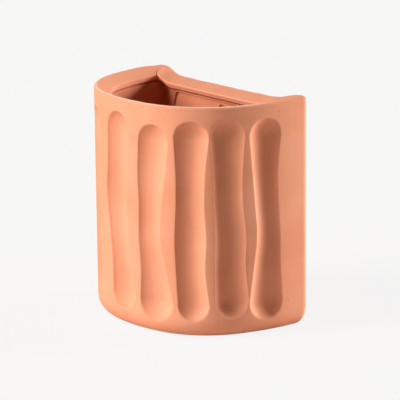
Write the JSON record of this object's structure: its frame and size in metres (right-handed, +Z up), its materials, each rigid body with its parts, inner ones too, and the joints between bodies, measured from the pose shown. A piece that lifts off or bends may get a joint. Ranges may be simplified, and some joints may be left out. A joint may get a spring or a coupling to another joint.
{
  "type": "wall planter",
  "caption": "Half-round wall planter in unglazed terracotta with wavy vertical gouged flutes, a bevelled rim dipping at the flat back, a hook hole and a drain stopper.",
  "frame": {"origin": "centre of the footprint, on the surface the pot stands on", "axes": "+Z up, +Y out of the flat back towards the wall it hangs on, the fluted front faces -Y, +X to the right seen from the front"},
  "size_m": [0.2, 0.127, 0.208],
  "materials": {
    "terracotta": "unglazed fired clay, dry and matt",
    "stopper_rubber": "moulded matt rubber"
  },
  "bodies": {
    "pot": {"front_wall": "terracotta", "front_rim": "terracotta", "back_wall": "terracotta", "back_rim": "terracotta", "floor_slab": "terracotta", "hanger_slab": "terracotta"},
    "stopper": {"drain_plug": "stopper_rubber"}
  },
  "joints": [
    {"name": "stopper_pull", "type": "slide", "parent": "pot", "child": "stopper", "axis": [0, 0, -1], "range_m": [0, 0.03]}
  ]
}
